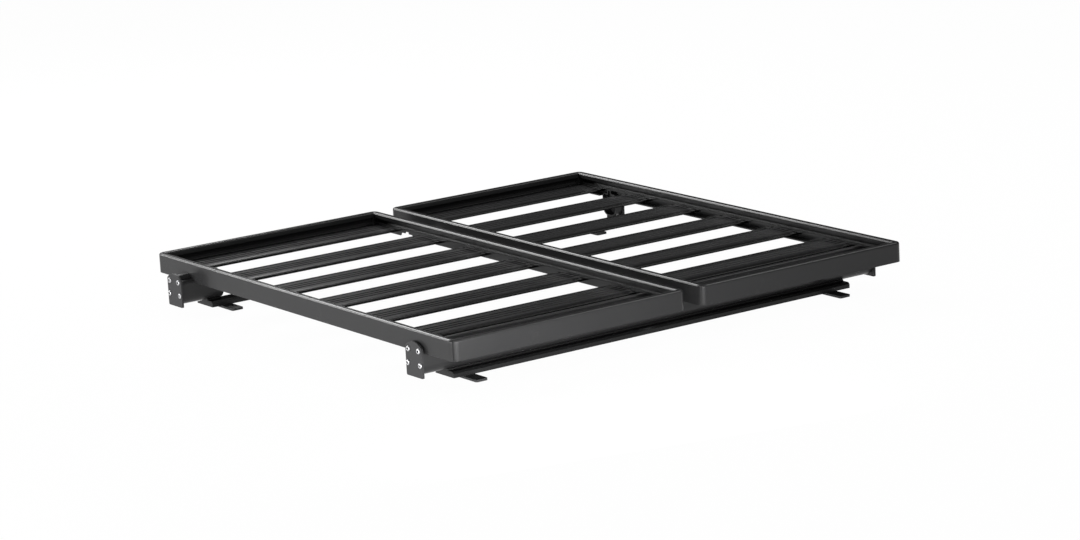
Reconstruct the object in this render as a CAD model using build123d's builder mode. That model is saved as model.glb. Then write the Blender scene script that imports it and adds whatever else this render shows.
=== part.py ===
from build123d import *
import os

# Trays: two shallow slatted platforms side by side, X across, Y from the near edge to the far edge
tray_length = 1156.0
left_tray_width = 574.0
right_tray_width = 541.0
tray_gap = 41.0
corner_radius = 15.0
seam_width = 1.6
seam_depth = 1.2

# Rail section: a thin outer wall with a bead along its top and an accessory channel under the bead
frame_height = 42.5
rail_wall = 3.0
bead_width = 16.0
bead_height = 11.5
bead_edge_radius = 4.5
channel_mouth = 9.0
channel_floor = 3.0
lip_height = 2.0
lip_thickness = 2.0
flange_width = 22.5
flange_thickness = 3.0

# Slats: rolled planks that run across each tray under the channel floors
pitched_slats = 6
slat_width = 96.5
near_slat_inset = 8.0
far_slat_inset = 15.5
slat_sheet = 2.4
slat_edge_height = 5.0
slat_edge_bevel = 1.5
slat_step = 1.0
slat_margin = 10.0
slat_slope = 8.0
slat_end_clearance = 0.5
groove_count = 3
groove_pitch = 14.5
groove_width = 6.0
groove_depth = 1.3
groove_slope = 35.0

# Cross beam: a hollow extrusion with a narrower crown that the rails sit on
beam_width = 52.0
beam_wall = 3.0
beam_drop = 46.0
beam_corner_radius = 20.0
shoulder_clearance = 5.0
shoulder_radius = 8.0
crown_width = 14.0
crown_radius = 3.0
notch_clearance = 0.5
near_beam_slot = 15.75
inner_beam_slot = 13.25
far_beam_slot = 13.0
beam_overhang = 4.2
far_left_overhang = 30.7
far_left_reach = 72.0
far_right_reach = 14.0

# End plates: arched caps bolted over the open ends of the beam sections
plate_thickness = 4.0
plate_side_margin = 2.75
plate_bottom_margin = 4.5
plate_top_margin = 4.3
plate_arch_rise = 11.3
plate_shoulder_radius = 5.0
plate_corner_radius = 3.0
bolt_hole_diameter = 7.0
upper_bolt_spacing = 36.0
upper_bolt_height = 50.5
lower_bolt_spacing = 43.0
lower_bolt_height = 21.7

# Tracks: bars with a bevelled near edge, a slope down to a thin far edge, and seats for the beams
track_width = 65.0
track_thickness = 12.5
track_bevel = 4.0
track_flat = 34.0
track_far_height = 3.5
track_seat_width = 24.0
track_seat_height = 2.8
near_track_left_setback = 62.0
near_track_right_setback = 69.0
far_track_left_setback = 37.5
far_track_right_setback = 4.0

# Feet: plain tabs under the tracks that reach out past the near long edge
foot_width = 28.0
foot_thickness = 4.7
foot_reach = 45.5
near_foot_setback = 109.0
far_foot_setback = 85.0
foot_shift = -10.5
foot_corner_radius = 4.0

# Levels above the ground, which the undersides of the feet touch
track_top = foot_thickness + track_thickness
beam_bottom = track_top + track_seat_height
frame_bottom = beam_bottom + beam_drop
bead_bottom = frame_height - bead_height
lip_top = bead_bottom - channel_mouth
floor_top = lip_top - lip_height
floor_bottom = floor_top - channel_floor
seat = frame_bottom + floor_bottom
beam_shoulder = seat - slat_edge_height - shoulder_clearance

# Places across and along the rack, with the origin under the middle of the whole rack
rack_width = left_tray_width + tray_gap + right_tray_width
left_edge = (far_left_overhang - beam_overhang - rack_width) / 2
right_edge = left_edge + rack_width
near_edge = -tray_length / 2
far_edge = tray_length / 2
near_beam_place = near_edge + near_slat_inset + slat_width + near_beam_slot + crown_width / 2
far_beam_place = far_edge - far_slat_inset - slat_width - far_beam_slot - crown_width / 2
mitre_angle = 45.0
mitre_start = bead_width / 2
mitre_depth = max(bead_width, flange_width)
start_turn = 180 + mitre_angle
end_turn = 360 - mitre_angle

# Slat centres: one by the near rail, the rest evenly spaced between the near beam and the far rail
near_slat = near_edge + near_slat_inset + slat_width / 2
first_slat = far_edge - far_slat_inset - slat_width / 2
last_slat = near_beam_place + crown_width / 2 + inner_beam_slot + slat_width / 2
slat_pitch = (first_slat - last_slat) / (pitched_slats - 1)
slat_places = [first_slat - row * slat_pitch for row in range(pitched_slats)] + [near_slat]

os.makedirs("parts", exist_ok=True)


def save(builder, label):
    builder.part.label = label
    export_step(builder.part, f"parts/{label}.step")


def across_plane(x, y):
    # Upright plane facing +X, with its own x along the rack and its own y as the height
    return Plane(origin=(x, y, 0), x_dir=(0, 1, 0), z_dir=(1, 0, 0))


def rail_section(plan, x, flanged, reach, keyed):
    # Outline of the rail at a place along its plan, as far in as a given reach; a corner key fills the channel
    plane = Plane(origin=plan.from_local_coords((x, 0, 0)), x_dir=plan.y_dir, z_dir=plan.x_dir)
    with BuildSketch(plane) as section:
        with BuildLine():
            Polyline(
                (0, 0),
                (rail_wall, 0),
                (rail_wall, floor_bottom),
                (bead_width, floor_bottom),
                (bead_width, lip_top),
                (bead_width - lip_thickness, lip_top),
                (bead_width - lip_thickness, floor_top),
                (rail_wall, floor_top),
                (rail_wall, bead_bottom),
                (bead_width, bead_bottom),
                (bead_width, frame_height),
                (0, frame_height),
                close=True,
            )
        make_face()
        fillet(section.vertices().group_by(Axis.Y)[-1], bead_edge_radius)
        if flanged:
            Rectangle(flange_width, flange_thickness, align=(Align.MIN, Align.MIN))
        if keyed:
            with Locations((0, floor_bottom)):
                Rectangle(reach, bead_bottom - floor_bottom, align=(Align.MIN, Align.MIN))
        Rectangle(reach, frame_height, align=(Align.MIN, Align.MIN), mode=Mode.INTERSECT)
    return section.sketch


def beam_outline(plane, grow, crown_top):
    # Outline of the beam section, grown or shrunk on its sides, with the crown ending at a given height
    half = beam_width / 2 + grow
    crown_half = crown_width / 2 + grow
    bottom = beam_bottom - grow
    shoulder = beam_shoulder + grow
    with BuildSketch(plane) as outline:
        with BuildLine():
            Polyline(
                (-half, bottom),
                (half, bottom),
                (half, shoulder),
                (crown_half, shoulder),
                (crown_half, crown_top),
                (-crown_half, crown_top),
                (-crown_half, shoulder),
                (-half, shoulder),
                close=True,
            )
        make_face()
        shoulder_corners = outline.vertices().group_by(Axis.Y)[1].sort_by(Axis.X)
        fillet((shoulder_corners[0], shoulder_corners[-1]), shoulder_radius + grow)
        if crown_radius + grow > 0:
            fillet(outline.vertices().group_by(Axis.Y)[-1], crown_radius + grow)
        fillet(outline.vertices().group_by(Axis.Y)[0], beam_corner_radius + grow)
    return outline.sketch


def make_rail(label, corner, along, length, flanged, notches):
    # One side of a tray: the section run along it and round half of each corner, notched over the beams
    plan = Plane(origin=(*corner, frame_bottom), x_dir=along, z_dir=(0, 0, 1))
    with BuildPart() as rail:
        extrude(rail_section(plan, 0, flanged, mitre_depth, False), amount=length)
        with BuildSketch(plan):
            with BuildLine():
                Polyline(
                    (corner_radius, 0),
                    (length - corner_radius, 0),
                    (length - corner_radius, mitre_start),
                    (length - mitre_start, mitre_start),
                    (length - mitre_depth, mitre_depth),
                    (mitre_depth, mitre_depth),
                    (mitre_start, mitre_start),
                    (corner_radius, mitre_start),
                    close=True,
                )
            make_face()
        extrude(amount=frame_height, mode=Mode.INTERSECT)
        for centre, spin, turn in ((corner_radius, -1, start_turn), (length - corner_radius, 1, end_turn)):
            pivot = Axis(plan.from_local_coords((centre, corner_radius, 0)), (0, 0, spin))
            corner_section = rail_section(plan, centre, flanged, mitre_start, True)
            revolve(corner_section, axis=pivot, revolution_arc=mitre_angle)
            with BuildSketch(plan):
                with Locations((centre, corner_radius)):
                    with PolarLocations(corner_radius, 1, start_angle=turn):
                        Rectangle(2 * seam_depth, seam_width)
            extrude(amount=frame_height, mode=Mode.SUBTRACT)
        for notch in notches:
            notch_outline = beam_outline(across_plane(corner[0], notch), notch_clearance, seat)
            extrude(notch_outline, amount=mitre_depth, both=True, mode=Mode.SUBTRACT)
    save(rail, label)


def make_slat(label, low, high, place):
    # One plank: a thin sheet with turned-down edges and a raised, grooved middle, trimmed to the tray
    inner_wall = rail_wall + slat_end_clearance
    inner_width = high - low - 2 * inner_wall
    half = slat_width / 2
    slope_foot = half - slat_margin
    slope_head = slope_foot - slat_slope
    margin_top = seat - slat_step
    with BuildPart() as slat:
        with BuildSketch(across_plane(low + inner_wall, place)) as profile:
            with BuildLine():
                Polyline(
                    (-half, seat - slat_edge_height),
                    (-half, margin_top),
                    (-slope_foot, margin_top),
                    (-slope_head, seat),
                    (slope_head, seat),
                    (slope_foot, margin_top),
                    (half, margin_top),
                    (half, seat - slat_edge_height),
                    close=True,
                )
            make_face()
            shoulders = profile.vertices().group_by(Axis.Y)[1].sort_by(Axis.X)
            chamfer((shoulders[0], shoulders[-1]), slat_edge_bevel)
            with Locations((0, margin_top - slat_sheet)):
                Rectangle(
                    slat_width - 2 * slat_sheet,
                    slat_edge_height,
                    align=(Align.CENTER, Align.MAX),
                    mode=Mode.SUBTRACT,
                )
            with Locations((0, seat)):
                with GridLocations(groove_pitch, 0, groove_count, 1):
                    Trapezoid(
                        groove_width,
                        groove_depth,
                        groove_slope,
                        rotation=180,
                        align=(Align.CENTER, Align.MIN),
                        mode=Mode.SUBTRACT,
                    )
        extrude(amount=inner_width)
        with BuildSketch(Plane.XY.offset(seat - slat_edge_height)):
            with Locations(((low + high) / 2, 0)):
                RectangleRounded(inner_width, tray_length - 2 * inner_wall, corner_radius - inner_wall)
        extrude(amount=slat_edge_height, mode=Mode.INTERSECT)
    save(slat, label)


def make_tray(side, low, high, outer_is_low):
    # A tray is four mitred rails round seven slats; the side rails are notched, the outer one flanged
    width = high - low
    notches = [near_beam_place, far_beam_place]
    low_name, high_name = ("outer", "inner") if outer_is_low else ("inner", "outer")
    uprights = {
        low_name: ((low, far_edge), (0, -1, 0)),
        high_name: ((high, near_edge), (0, 1, 0)),
    }
    make_rail(f"{side}_tray_near_rail", (low, near_edge), (1, 0, 0), width, False, [])
    make_rail(f"{side}_tray_far_rail", (high, far_edge), (-1, 0, 0), width, False, [])
    make_rail(f"{side}_tray_outer_rail", *uprights["outer"], tray_length, True, notches)
    make_rail(f"{side}_tray_inner_rail", *uprights["inner"], tray_length, False, notches)
    for number, place in enumerate(slat_places, start=1):
        make_slat(f"{side}_tray_slat_{number}", low, high, place)


def make_beam(label, start, end, place):
    # A length of the hollow beam section
    plane = across_plane(start, place)
    outside = beam_outline(plane, 0, seat)
    hollow = beam_outline(plane, -beam_wall, seat - beam_wall)
    with BuildPart() as beam:
        extrude(outside, amount=end - start)
        extrude(hollow, amount=end - start, mode=Mode.SUBTRACT)
    save(beam, label)


def make_end_plate(label, inner_face, outward, place):
    # An arched cap over a beam end, with four bolt holes
    half = beam_width / 2 + plate_side_margin
    bottom = beam_bottom - plate_bottom_margin
    apex = seat + plate_top_margin
    shoulder = apex - plate_arch_rise
    with BuildPart() as plate:
        with BuildSketch(across_plane(inner_face, place)) as profile:
            with BuildLine():
                Polyline((-half, shoulder), (-half, bottom), (half, bottom), (half, shoulder))
                ThreePointArc((half, shoulder), (0, apex), (-half, shoulder))
            make_face()
            levels = profile.vertices().group_by(Axis.Y)
            fillet(levels[0], plate_corner_radius)
            fillet(profile.vertices().group_by(Axis.Y)[-1], plate_shoulder_radius)
            with Locations((0, beam_bottom + upper_bolt_height)):
                with GridLocations(upper_bolt_spacing, 0, 2, 1):
                    Circle(bolt_hole_diameter / 2, mode=Mode.SUBTRACT)
            with Locations((0, beam_bottom + lower_bolt_height)):
                with GridLocations(lower_bolt_spacing, 0, 2, 1):
                    Circle(bolt_hole_diameter / 2, mode=Mode.SUBTRACT)
        extrude(amount=outward * plate_thickness)
    save(plate, label)


def make_track(label, start, end, place, seats):
    # A bevelled bar that slopes down to its far edge, with a raised seat under each beam section
    near = -track_width / 2
    far = track_width / 2
    seat_rise = beam_bottom - foot_thickness
    with BuildPart() as track:
        with BuildSketch(across_plane(start, place)):
            with BuildLine():
                Polyline(
                    (near, foot_thickness),
                    (far, foot_thickness),
                    (far, foot_thickness + track_far_height),
                    (near + track_flat, track_top),
                    (near + track_bevel, track_top),
                    (near, track_top - track_bevel),
                    close=True,
                )
            make_face()
        extrude(amount=end - start)
        for seat_start, seat_end in seats:
            with BuildSketch(across_plane(seat_start, place)):
                with Locations((0, beam_bottom)):
                    Rectangle(track_seat_width, seat_rise, align=(Align.CENTER, Align.MAX))
            extrude(amount=seat_end - seat_start)
    save(track, label)


def make_foot(label, x, place):
    # A tab from under the middle of the track out past its near edge
    reach = track_width / 2 + foot_reach
    with BuildPart() as foot:
        with BuildSketch():
            with Locations((x, place)):
                Rectangle(foot_width, reach, align=(Align.CENTER, Align.MAX))
        extrude(amount=foot_thickness)
        fillet(foot.edges().filter_by(Axis.Z).group_by(Axis.Y)[0], foot_corner_radius)
    save(foot, label)


# Trays
make_tray("left", left_edge, left_edge + left_tray_width, True)
make_tray("right", right_edge - right_tray_width, right_edge, False)

# Beam sections: one whole beam at the near side and a short end at each far corner
near_beam_start = left_edge - beam_overhang
near_beam_end = right_edge + beam_overhang
far_left_start = left_edge - far_left_overhang
far_left_end = left_edge + far_left_reach
far_right_start = right_edge - far_right_reach
far_right_end = right_edge + beam_overhang
make_beam("near_beam", near_beam_start, near_beam_end, near_beam_place)
make_beam("far_left_beam_end", far_left_start, far_left_end, far_beam_place)
make_beam("far_right_beam_end", far_right_start, far_right_end, far_beam_place)

# End plates
make_end_plate("near_left_end_plate", near_beam_start, -1, near_beam_place)
make_end_plate("near_right_end_plate", near_beam_end, 1, near_beam_place)
make_end_plate("far_left_end_plate", far_left_start, -1, far_beam_place)
make_end_plate("far_right_end_plate", far_right_end, 1, far_beam_place)

# Tracks, with a seat along the whole near beam and one under each far beam end
near_track_start = left_edge + near_track_left_setback
near_track_end = right_edge - near_track_right_setback
far_track_start = left_edge + far_track_left_setback
far_track_end = right_edge - far_track_right_setback
near_seats = [(near_track_start, near_track_end)]
far_seats = [(far_track_start, far_left_end), (far_right_start, far_track_end)]
make_track("near_track", near_track_start, near_track_end, near_beam_place, near_seats)
make_track("far_track", far_track_start, far_track_end, far_beam_place, far_seats)

# Feet, set a little left of the middle
for row, place, setback in (
    ("near", near_beam_place, near_foot_setback),
    ("far", far_beam_place, far_foot_setback),
):
    make_foot(f"{row}_left_foot", left_edge + setback + foot_shift, place)
    make_foot(f"{row}_right_foot", right_edge - setback + foot_shift, place)
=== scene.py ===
import math

import bpy
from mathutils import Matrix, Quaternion, Vector


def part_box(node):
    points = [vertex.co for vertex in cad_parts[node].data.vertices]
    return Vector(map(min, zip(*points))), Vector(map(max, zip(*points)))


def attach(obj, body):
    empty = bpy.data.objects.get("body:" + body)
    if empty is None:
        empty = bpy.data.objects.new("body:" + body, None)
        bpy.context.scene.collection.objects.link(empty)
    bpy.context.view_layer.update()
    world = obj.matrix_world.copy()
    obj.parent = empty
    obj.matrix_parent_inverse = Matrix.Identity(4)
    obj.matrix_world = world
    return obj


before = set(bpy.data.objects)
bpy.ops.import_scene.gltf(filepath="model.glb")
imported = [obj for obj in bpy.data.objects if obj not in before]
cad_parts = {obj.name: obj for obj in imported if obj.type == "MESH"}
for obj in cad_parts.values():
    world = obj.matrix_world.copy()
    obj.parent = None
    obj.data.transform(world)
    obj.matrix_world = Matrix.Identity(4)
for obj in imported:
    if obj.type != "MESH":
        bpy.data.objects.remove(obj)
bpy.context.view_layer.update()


# Feet
# Four flat steel tabs, welded under the tracks, that carry the whole rack.
# They are cut from plate and powder coated in a fine-grained satin black.

class Wire:
    """A shader socket that takes part in Python expressions."""

    def __init__(self, tree, socket):
        self.tree = tree
        self.socket = socket

    def make(self, kind, settings, sockets, output=0):
        """Adds any node: its settings first, then the values or links of its sockets."""
        node = self.tree.nodes.new(kind)
        for name, value in settings.items():
            setattr(node, name, value)
        for name, value in sockets.items():
            if isinstance(value, Wire):
                self.tree.links.new(value.socket, node.inputs[name])
            else:
                node.inputs[name].default_value = value
        return Wire(self.tree, node.outputs[output])

    def maths(self, operation, first, second):
        """Adds a Math node on two values."""
        return self.make("ShaderNodeMath", {"operation": operation}, {0: first, 1: second})

    def __add__(self, other):
        return self.maths("ADD", self, other)

    def __radd__(self, other):
        return self.maths("ADD", other, self)

    def __sub__(self, other):
        return self.maths("SUBTRACT", self, other)

    def __rsub__(self, other):
        return self.maths("SUBTRACT", other, self)

    def __mul__(self, other):
        return self.maths("MULTIPLY", self, other)

    def __rmul__(self, other):
        return self.maths("MULTIPLY", other, self)


def new_material(name):
    """A material with a plain Principled shader, and a wire to start its node network from."""
    material = bpy.data.materials.new(name)
    material.use_nodes = True
    tree = material.node_tree
    shader = tree.nodes["Principled BSDF"]
    return material, shader, Wire(tree, None)


# A Mix node's colour sockets go by number, because its other kinds of socket have the same names.
first_colour = 6
second_colour = 7
mixed_colour = 2

grain_scale = 1500.0
drift_scale = 9.0
die_line_scale = 700.0
die_line_stretch = 1.5
die_line_share = 0.3
darkest_tint = 0.8
palest_tint = 1.2
drift_tint = 0.35
grain_tint = 0.3
drift_gloss = 0.08
grain_gloss = 0.04
relief = 0.15


def powder_coat(name, black, roughness, grain_height, draw_axis=None, painted_light_and_gloss=None, specular=0.2):
    """Satin black powder coat: fine pebbled grain, slow drift in gloss, and faint die lines on extrusions.

    The noises average a half, so half their range comes off the roughness. A function for painted light,
    where one is given, changes the tint and the gloss by place.
    """
    material, shader, start = new_material(name)
    place = start.make("ShaderNodeTexCoord", {}, {}, "Object")
    grain = start.make(
        "ShaderNodeTexNoise", {}, {"Vector": place, "Scale": grain_scale, "Detail": 2.0, "Roughness": 0.6}
    )
    drift = start.make(
        "ShaderNodeTexNoise", {}, {"Vector": place, "Scale": drift_scale, "Detail": 3.0, "Roughness": 0.5}
    )
    height = grain
    if draw_axis is not None:
        squeeze = [die_line_scale] * 3
        squeeze[draw_axis] = die_line_stretch
        along = start.make("ShaderNodeMapping", {}, {"Vector": place, "Scale": squeeze})
        lines = start.make(
            "ShaderNodeTexNoise", {}, {"Vector": along, "Scale": 1.0, "Detail": 2.0, "Roughness": 0.5}
        )
        height = (1.0 - die_line_share) * grain + die_line_share * lines
    tint = start.make(
        "ShaderNodeMix",
        {"data_type": "RGBA"},
        {
            "Factor": drift_tint * drift + grain_tint * grain,
            first_colour: (*[darkest_tint * channel for channel in black], 1.0),
            second_colour: (*[palest_tint * channel for channel in black], 1.0),
        },
        mixed_colour,
    )
    smoothest = roughness - (drift_gloss + grain_gloss) / 2
    gloss = smoothest + drift_gloss * drift + grain_gloss * grain
    if painted_light_and_gloss is not None:
        tint, gloss = painted_light_and_gloss(place, tint, gloss)
    bump = start.make(
        "ShaderNodeBump", {}, {"Height": height, "Strength": relief, "Distance": grain_height}
    )
    links = material.node_tree.links
    links.new(tint.socket, shader.inputs["Base Color"])
    links.new(gloss.socket, shader.inputs["Roughness"])
    links.new(bump.socket, shader.inputs["Normal"])
    shader.inputs["Specular IOR Level"].default_value = specular
    return material


def dress(material, *names):
    """Gives CAD nodes their finish."""
    for name in names:
        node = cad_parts[name]
        node.data.materials.clear()
        node.data.materials.append(material)


corners = ["near_left", "near_right", "far_left", "far_right"]
plate_black = (0.03, 0.03, 0.031)
plate_grain = 0.0003
foot_roughness = 0.5
foot_coat = powder_coat("foot_coat", plate_black, foot_roughness, plate_grain)
dress(foot_coat, *[f"{corner}_foot" for corner in corners])


# Tracks
# Two long aluminium extrusions laid across the feet: bars with a bevelled near edge and a sloped top.
# They are black anodised and show faint die lines along their length.

along_x = 0
extrusion_grain = 0.0002
track_black = (0.01, 0.01, 0.0103)
track_roughness = 0.4
track_coat = powder_coat("track_coat", track_black, track_roughness, extrusion_grain, along_x)
dress(track_coat, "near_track", "far_track")


# Beam sections
# One hollow aluminium beam along the near side and a short end of the same section at each far corner.
# They are extruded, powder coated, and bolted down on the seats of the tracks.

beam_black = (0.024, 0.024, 0.0245)
beam_roughness = 0.32
beam_coat = powder_coat("beam_coat", beam_black, beam_roughness, extrusion_grain, along_x)
dress(beam_coat, "near_beam", "far_left_beam_end", "far_right_beam_end")


# End plates
# Four arched steel plates that close the beam sections, laser cut and powder coated.
# Each is held by four bolts through its corners.

plate_roughness = 0.48
plate_coat = powder_coat("plate_coat", plate_black, plate_roughness, plate_grain)
dress(plate_coat, *[f"{corner}_end_plate" for corner in corners])


# Bolts
# Stainless button-head screws with a hexagon socket, four through each end plate.
# Their low domed heads are turned and bright, and sit straight on the coated plate.

bright_steel = (0.55, 0.55, 0.56)
# Near-black steel for the inside of each socket: a painted shade where the socket's own shadow falls.
painted_socket_shade = (0.015, 0.015, 0.015)
mark_scale = 2600.0
mark_height = 0.0001
mark_gloss = 0.16
steel_roughness = 0.42
head_radius = 0.0056
head_height = 0.0024
head_round = 0.0017
head_sides = 40
round_steps = 5
smooth_angle = math.radians(32)
socket_sides = 6
socket_radius = 0.0031
socket_depth = 0.0018
upper_spacing = 0.036
upper_rise = 0.055
lower_spacing = 0.043
lower_rise = 0.0262


def bolt_finish(name, steel):
    """Stainless steel with fine turning marks."""
    material, shader, start = new_material(name)
    place = start.make("ShaderNodeTexCoord", {}, {}, "Object")
    marks = start.make(
        "ShaderNodeTexNoise", {}, {"Vector": place, "Scale": mark_scale, "Detail": 2.0, "Roughness": 0.5}
    )
    gloss = steel_roughness + mark_gloss * marks
    bump = start.make("ShaderNodeBump", {}, {"Height": marks, "Strength": relief, "Distance": mark_height})
    links = material.node_tree.links
    links.new(gloss.socket, shader.inputs["Roughness"])
    links.new(bump.socket, shader.inputs["Normal"])
    shader.inputs["Base Color"].default_value = (*steel, 1.0)
    shader.inputs["Metallic"].default_value = 1.0
    return material


def pick(piece):
    """Selects one piece alone, for the operators that follow."""
    bpy.ops.object.select_all(action="DESELECT")
    piece.select_set(True)
    bpy.context.view_layer.objects.active = piece


def bar_along_x(sides, radius, length, middle):
    """A straight bar on the X axis, with a number of sides and its middle at one X."""
    bpy.ops.object.select_all(action="DESELECT")
    bpy.ops.mesh.primitive_cylinder_add(
        vertices=sides,
        radius=radius,
        depth=length,
        location=(middle, 0.0, 0.0),
        rotation=(0.0, math.pi / 2, 0.0),
    )
    bpy.ops.object.transform_apply(location=True, rotation=True, scale=True)
    return bpy.context.active_object


def button_head():
    """One screw head at the origin, its axis along X, domed towards +X and with a hexagon socket.

    The socket's walls and floor take the second material, a painted shade for the shadow inside the socket.
    """
    head = bar_along_x(head_sides, head_radius, head_height, head_height / 2)
    bpy.ops.object.mode_set(mode="EDIT")
    bpy.ops.mesh.select_all(action="DESELECT")
    bpy.ops.object.mode_set(mode="OBJECT")
    for edge in head.data.edges:
        ends = [head.data.vertices[index].co.x for index in edge.vertices]
        edge.select = min(ends) > head_height / 2
    bpy.ops.object.mode_set(mode="EDIT")
    bpy.ops.mesh.select_mode(type="EDGE")
    bpy.ops.mesh.bevel(offset=head_round, segments=round_steps, profile=0.5)
    bpy.ops.object.mode_set(mode="OBJECT")
    cutter = bar_along_x(socket_sides, socket_radius, 2 * socket_depth, head_height)
    cut = head.modifiers.new("socket", "BOOLEAN")
    cut.operation = "DIFFERENCE"
    cut.object = cutter
    pick(head)
    bpy.ops.object.modifier_apply(modifier=cut.name)
    bpy.data.objects.remove(cutter)
    for face in head.data.polygons:
        inside = math.hypot(face.center.y, face.center.z) < socket_radius
        sunk = 0.0 < face.center.x < head_height - socket_depth / 4
        face.material_index = 1 if inside and sunk else 0
    bpy.ops.object.shade_smooth_by_angle(angle=smooth_angle)
    return head


bolt_steel = bolt_finish("bolt_steel", bright_steel)
# The second finish is the same steel painted near black, as painted shade inside the sockets.
painted_shade_socket_steel = bolt_finish("painted_shade_socket_steel", painted_socket_shade)
bolt_rows = (("upper", upper_rise, upper_spacing), ("lower", lower_rise, lower_spacing))
first_head = button_head()
for corner in corners:
    low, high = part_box(f"{corner}_end_plate")
    on_left = "left" in corner
    plate_face = low.x if on_left else high.x
    middle = (low.y + high.y) / 2
    for row, rise, spacing in bolt_rows:
        for end, side in (("front", -1.0), ("back", 1.0)):
            bolt = first_head.copy()
            bolt.data = first_head.data.copy()
            bolt.name = f"{corner}_{row}_{end}_bolt"
            bpy.context.collection.objects.link(bolt)
            pick(bolt)
            bolt.rotation_euler = (0.0, 0.0, math.pi if on_left else 0.0)
            bolt.location = (plate_face, middle + side * spacing / 2, low.z + rise)
            bpy.ops.object.transform_apply(location=True, rotation=True, scale=True)
            bolt.data.materials.append(bolt_steel)
            bolt.data.materials.append(painted_shade_socket_steel)
            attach(bolt, "root")
bpy.data.objects.remove(first_head)


# Rails
# Eight aluminium extrusions, four round each tray, mitred at the rounded corners.
# Satin black powder coat over a section with a bead, an accessory channel and a thin outer wall.

along_y = 1
rail_black = (0.024, 0.024, 0.0245)
rail_roughness = 0.26
cross_rail_coat = powder_coat("cross_rail_coat", rail_black, rail_roughness, extrusion_grain, along_x)
side_rail_coat = powder_coat("side_rail_coat", rail_black, rail_roughness, extrusion_grain, along_y)
for tray in ("left", "right"):
    dress(cross_rail_coat, f"{tray}_tray_near_rail", f"{tray}_tray_far_rail")
    dress(side_rail_coat, f"{tray}_tray_outer_rail", f"{tray}_tray_inner_rail")


# Slats
# Fourteen thin aluminium planks, seven across each tray, tucked under the rails' channel floors.
# Their raised, grooved tops are powder coated in the same black, a little flatter than the rails, with a
# painted highlight on the lands and painted shade in the grooves.

slat_black = (0.019, 0.019, 0.0194)
slat_roughness = 0.3
slat_specular = 0.08
slat_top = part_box("left_tray_slat_1")[1].z
# How far below the lands the painted highlight fades into the painted shade of the grooves.
land_ramp_depth = 0.0012
groove_painted_shade = 0.25
land_painted_highlight = 1.2
groove_shine = 0.06
land_wear = 0.09


def painted_land_highlight_and_groove_shade(place, tint, gloss):
    """Painted light on a slat: its lands get a painted highlight and a rougher gloss, and its grooves and
    lower edges a painted shade and a smoother gloss.
    """
    level = place.make("ShaderNodeSeparateXYZ", {}, {"Vector": place}, "Z")
    land_mask = place.make(
        "ShaderNodeMapRange", {}, {"Value": level, "From Min": slat_top - land_ramp_depth, "From Max": slat_top}
    )
    # Painted light: the lands are painted paler as a highlight, and everything below them darker as shade.
    shade = groove_painted_shade + (land_painted_highlight - groove_painted_shade) * land_mask
    painted_light_tint = place.make(
        "ShaderNodeMix",
        {"data_type": "RGBA", "blend_type": "MULTIPLY"},
        {"Factor": 1.0, first_colour: tint, second_colour: shade},
        mixed_colour,
    )
    return painted_light_tint, gloss - groove_shine + land_wear * land_mask


slat_coat = powder_coat(
    "slat_coat", slat_black, slat_roughness, extrusion_grain, along_x, painted_land_highlight_and_groove_shade, slat_specular
)
dress(slat_coat, *[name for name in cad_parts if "_slat_" in name])


# Floor and light
# A wide white studio floor in a dim even room. Two soft boxes behind rim the rails' beads, one on the
# right and high up draws the near edges, one in front fills in, and two low strips light the outer faces.

floor_size = 60.0
floor_white = (0.9, 0.9, 0.9, 1.0)
floor_shade = 0.02
full_white = (1.0, 1.0, 1.0, 1.0)
room_level = 0.03
rack_middle = (0.0, 0.0, 0.1)

bpy.ops.object.select_all(action="DESELECT")
bpy.ops.mesh.primitive_plane_add(size=floor_size)
floor = bpy.context.active_object
floor.name = "studio_floor"
floor_paint, floor_shader, floor_start = new_material("studio_floor")
floor_shader.inputs["Base Color"].default_value = floor_white
floor_shader.inputs["Roughness"].default_value = 0.9
floor_shader.inputs["Specular IOR Level"].default_value = 0.1
seen = floor_start.make("ShaderNodeLightPath", {}, {}, "Is Camera Ray")
mirrored = floor_start.make("ShaderNodeLightPath", {}, {}, "Is Glossy Ray")
passed = floor_start.make("ShaderNodeLightPath", {}, {}, "Is Transmission Ray")
direct = floor_start.maths("MAXIMUM", floor_start.maths("MAXIMUM", seen, mirrored), passed)
white = floor_start.make("ShaderNodeEmission", {}, {"Color": full_white, "Strength": 1.0})
lit = Wire(floor_paint.node_tree, floor_shader.outputs["BSDF"])
ground = floor_start.make(
    "ShaderNodeMixShader", {}, {0: (1.0 - floor_shade) * direct, 1: lit, 2: white}
)
floor_output = floor_paint.node_tree.nodes["Material Output"]
floor_paint.node_tree.links.new(ground.socket, floor_output.inputs["Surface"])
floor.data.materials.append(floor_paint)

world = bpy.data.worlds.new("studio_room")
world.use_nodes = True
bpy.context.scene.world = world
room_tree = world.node_tree
room = room_tree.nodes["Background"]
room_start = Wire(room_tree, None)
looked_at = room_start.make("ShaderNodeLightPath", {}, {}, "Is Camera Ray")
room_light = room_level + (1.0 - room_level) * looked_at
room.inputs["Color"].default_value = full_white
room_tree.links.new(room_light.socket, room.inputs["Strength"])


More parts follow.
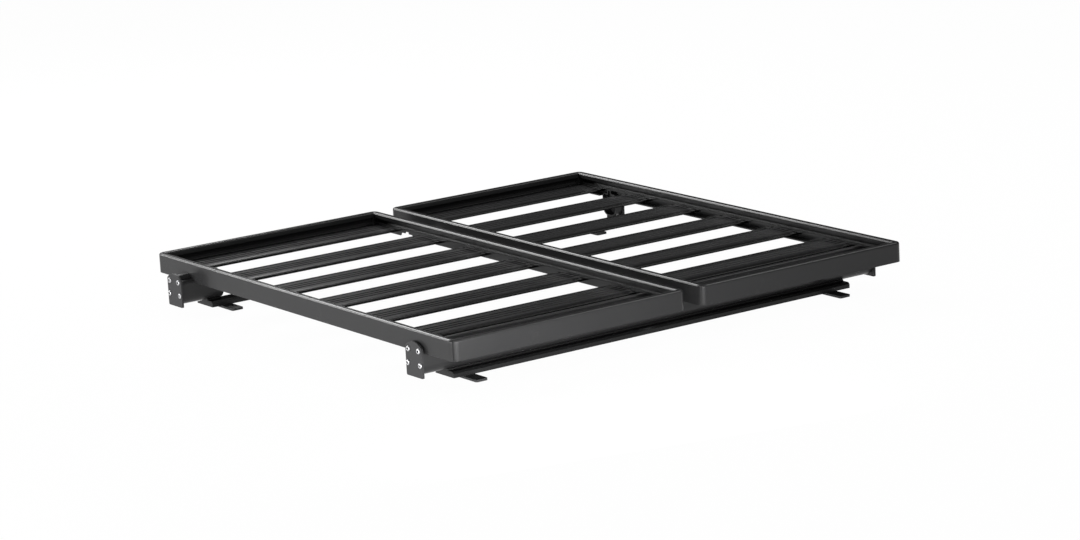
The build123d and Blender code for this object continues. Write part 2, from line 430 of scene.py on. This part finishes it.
def soft_box(name, place, target, width, height, power):
    """A rectangular soft light at one place, facing another, in metres and watts."""
    lamp = bpy.data.lights.new(name, "AREA")
    lamp.shape = "RECTANGLE"
    lamp.size = width
    lamp.size_y = height
    lamp.energy = power
    box = bpy.data.objects.new(name, lamp)
    bpy.context.collection.objects.link(box)
    box.location = place
    box.visible_camera = False
    box.rotation_mode = "QUATERNION"
    box.rotation_quaternion = (Vector(target) - Vector(place)).to_track_quat("-Z", "Y")


soft_box(
    "back_soft_box", place=(0.1, 3.0, 2.3), target=rack_middle, width=2.8, height=1.2, power=115.0
)
soft_box(
    "far_left_soft_box", place=(-5.0, 8.0, 3.1), target=rack_middle, width=2.2, height=2.8, power=400.0
)
soft_box(
    "front_soft_box", place=(-1.0, -3.2, 2.2), target=rack_middle, width=2.6, height=2.0, power=32.0
)
soft_box(
    "top_soft_box", place=(1.9, -1.0, 2.5), target=(0.0, -0.5, 0.1), width=3.2, height=1.0, power=38.0
)
soft_box(
    "front_light_strip",
    place=(-0.5, -1.16, 0.07),
    target=(-0.35, -0.55, 0.07),
    width=0.7,
    height=0.12,
    power=8.0,
)
soft_box(
    "left_light_strip", place=(-2.2, 0.0, 0.06), target=(-0.5, 0.0, 0.08), width=2.4, height=0.1, power=38.0
)


# Camera
# A long lens from the front left and a little above, at the photograph's own view,
# with the frame taken as two units wide to one high.

camera_place = (-4.2000, -6.0851, 1.7526)
camera_heading = math.radians(34.97)
camera_dip = math.radians(12.91)
camera_roll = math.radians(-3.05)
camera_lens = 117.02
camera_sensor = 36.0
camera_reach = 200.0

sight = Vector((
    math.sin(camera_heading) * math.cos(camera_dip),
    math.cos(camera_heading) * math.cos(camera_dip),
    -math.sin(camera_dip),
))
upright = sight.to_track_quat("-Z", "Y")
camera = bpy.data.objects.new("camera", bpy.data.cameras.new("camera"))
bpy.context.collection.objects.link(camera)
camera.data.lens = camera_lens
camera.data.sensor_fit = "HORIZONTAL"
camera.data.sensor_width = camera_sensor
camera.data.clip_end = camera_reach
camera.location = camera_place
camera.rotation_mode = "QUATERNION"
camera.rotation_quaternion = upright @ Quaternion((0.0, 0.0, 1.0), camera_roll)
bpy.context.scene.camera = camera
bpy.context.scene.view_settings.view_transform = "Standard"
